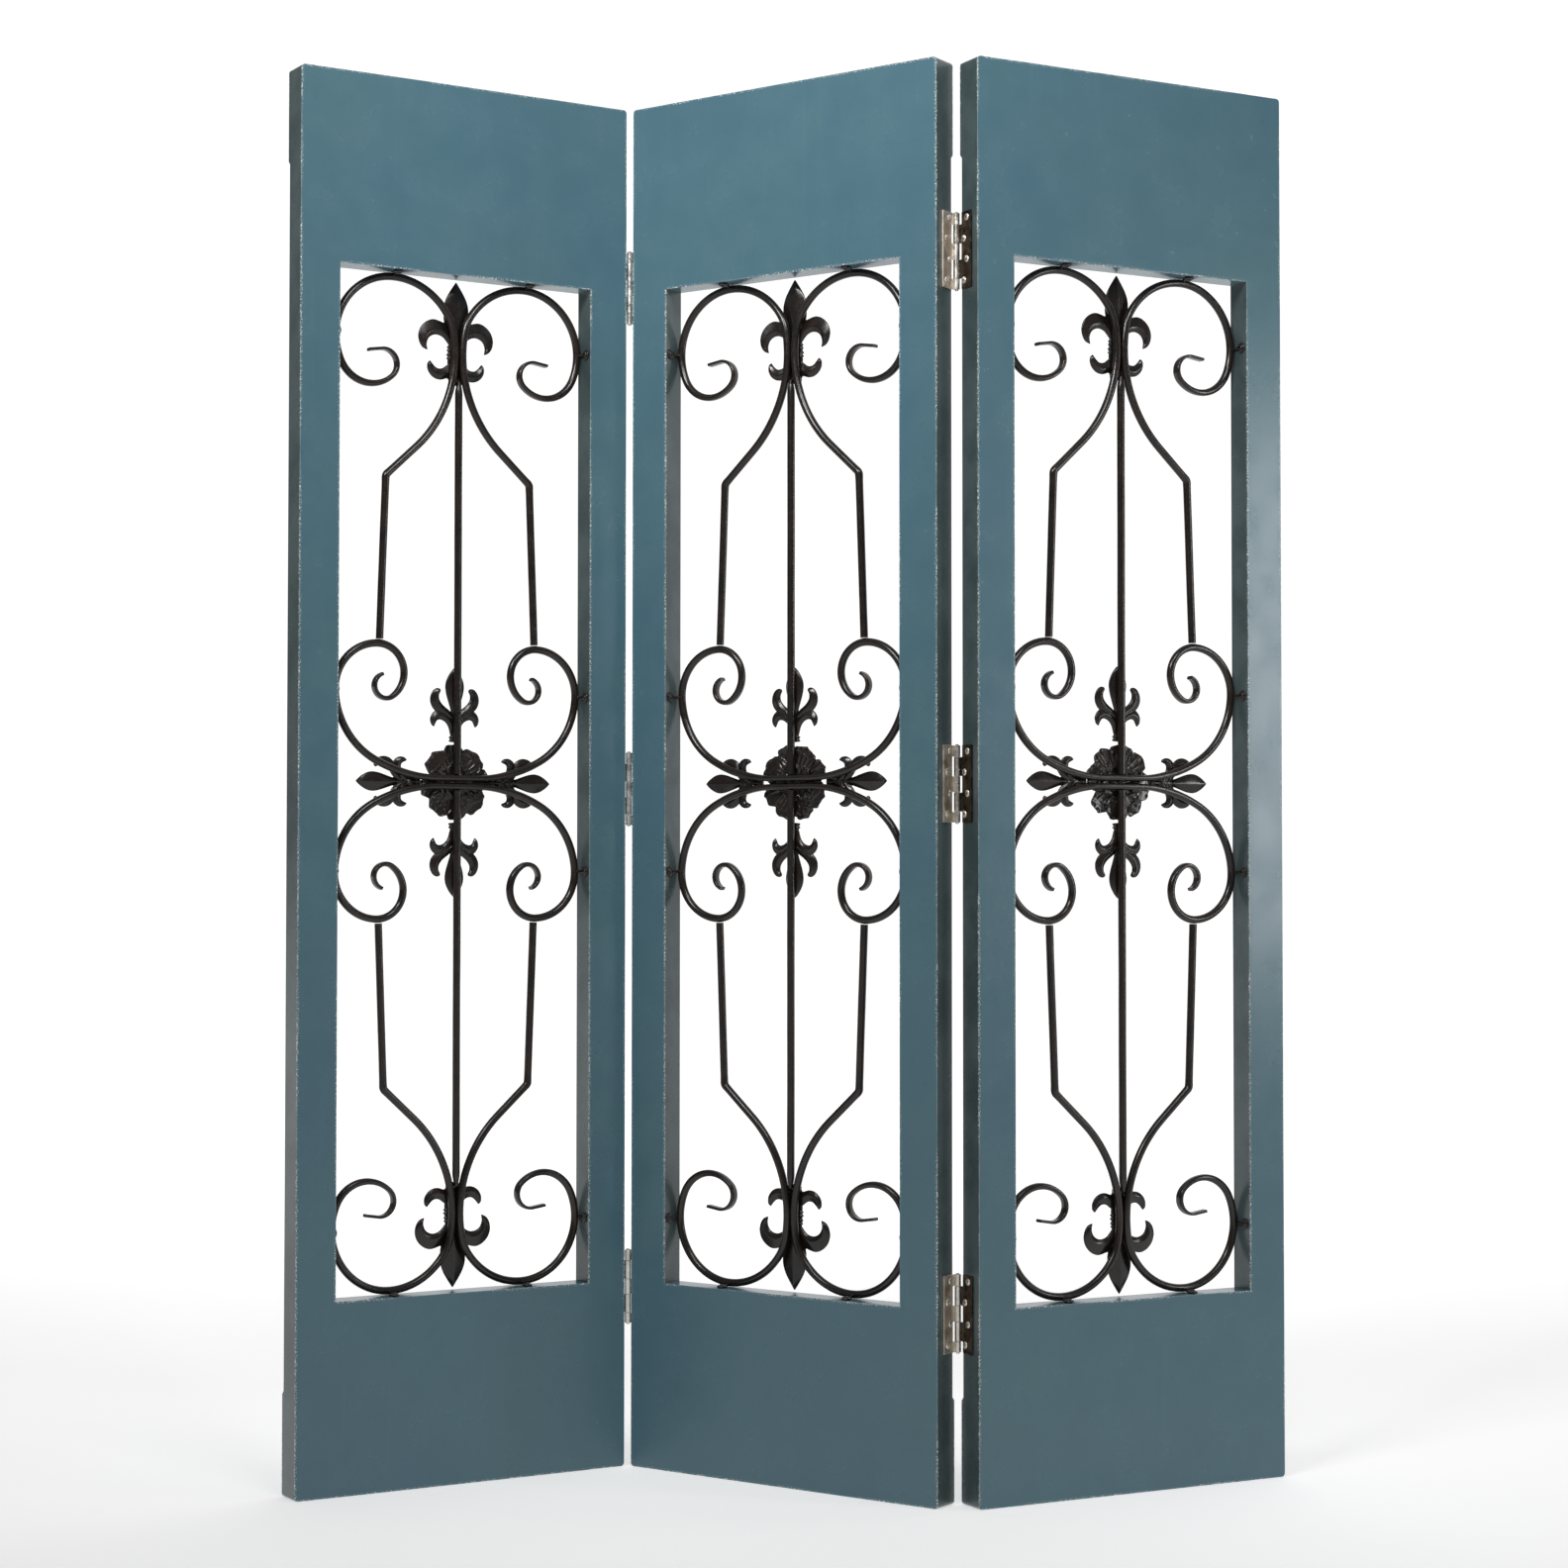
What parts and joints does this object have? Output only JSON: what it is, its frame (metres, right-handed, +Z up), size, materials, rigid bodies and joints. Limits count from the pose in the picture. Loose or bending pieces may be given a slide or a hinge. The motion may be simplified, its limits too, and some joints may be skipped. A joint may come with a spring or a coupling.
{
  "type": "folding screen",
  "caption": "Three-panel zigzag folding screen: painted wooden frames joined by butt hinges, each framing an open iron grille of scrolls, fleurs and a rosette.",
  "frame": {"origin": "centre of the standing screen's footprint box, on the floor", "axes": "+Z up; +X to the right across the three panels as seen from their plain faces; +Y away from the plain faces' viewer, the thin way of the folded screen"},
  "size_m": [1.3062, 0.3205, 1.83],
  "materials": {
    "teal_paint": "teal-blue satin paint over timber, mottled and rubbed pale along the arrises",
    "black_iron": "near-black satin lacquer on wrought and cast iron",
    "hinge_metal": "aged antique-brass plate with brighter knuckles and screws"
  },
  "bodies": {
    "left_panel": {"left_bottom_fleur": "black_iron", "left_bottom_rail": "teal_paint", "left_hinge_bottom_bored_leaf": "hinge_metal", "left_hinge_centre_bored_leaf": "hinge_metal", "left_hinge_top_bored_leaf": "hinge_metal", "left_left_stile": "teal_paint", "left_lower_centre_rod": "black_iron", "left_lower_left_scroll": "black_iron", "left_lower_mid_scroll": "black_iron", "left_lower_right_scroll": "black_iron", "left_right_stile": "teal_paint", "left_rosette": "black_iron", "left_top_fleur": "black_iron", "left_top_rail": "teal_paint", "left_upper_centre_rod": "black_iron", "left_upper_left_scroll": "black_iron", "left_upper_mid_scroll": "black_iron", "left_upper_right_scroll": "black_iron"},
    "middle_panel": {"left_hinge_bottom_pin_leaf": "hinge_metal", "left_hinge_centre_pin_leaf": "hinge_metal", "left_hinge_top_pin_leaf": "hinge_metal", "middle_bottom_fleur": "black_iron", "middle_bottom_rail": "teal_paint", "middle_left_stile": "teal_paint", "middle_lower_centre_rod": "black_iron", "middle_lower_left_scroll": "black_iron", "middle_lower_mid_scroll": "black_iron", "middle_lower_right_scroll": "black_iron", "middle_right_stile": "teal_paint", "middle_rosette": "black_iron", "middle_top_fleur": "black_iron", "middle_top_rail": "teal_paint", "middle_upper_centre_rod": "black_iron", "middle_upper_left_scroll": "black_iron", "middle_upper_mid_scroll": "black_iron", "middle_upper_right_scroll": "black_iron", "right_hinge_bottom_pin_leaf": "hinge_metal", "right_hinge_centre_pin_leaf": "hinge_metal", "right_hinge_top_pin_leaf": "hinge_metal"},
    "right_panel": {"right_bottom_fleur": "black_iron", "right_bottom_rail": "teal_paint", "right_hinge_bottom_bored_leaf": "hinge_metal", "right_hinge_centre_bored_leaf": "hinge_metal", "right_hinge_top_bored_leaf": "hinge_metal", "right_left_stile": "teal_paint", "right_lower_centre_rod": "black_iron", "right_lower_left_scroll": "black_iron", "right_lower_mid_scroll": "black_iron", "right_lower_right_scroll": "black_iron", "right_right_stile": "teal_paint", "right_rosette": "black_iron", "right_top_fleur": "black_iron", "right_top_rail": "teal_paint", "right_upper_centre_rod": "black_iron", "right_upper_left_scroll": "black_iron", "right_upper_mid_scroll": "black_iron", "right_upper_right_scroll": "black_iron"}
  },
  "joints": [
    {"name": "left_fold", "type": "hinge", "parent": "middle_panel", "child": "left_panel", "pos_m": [-0.21553, 0.12587, 0.915], "axis": [0, 0, 1], "range_deg": [-66.3, 113.7]},
    {"name": "right_fold", "type": "hinge", "parent": "middle_panel", "child": "right_panel", "pos_m": [0.20447, -0.12445, 0.915], "axis": [0, 0, 1], "range_deg": [-63.1, 116.9]}
  ]
}
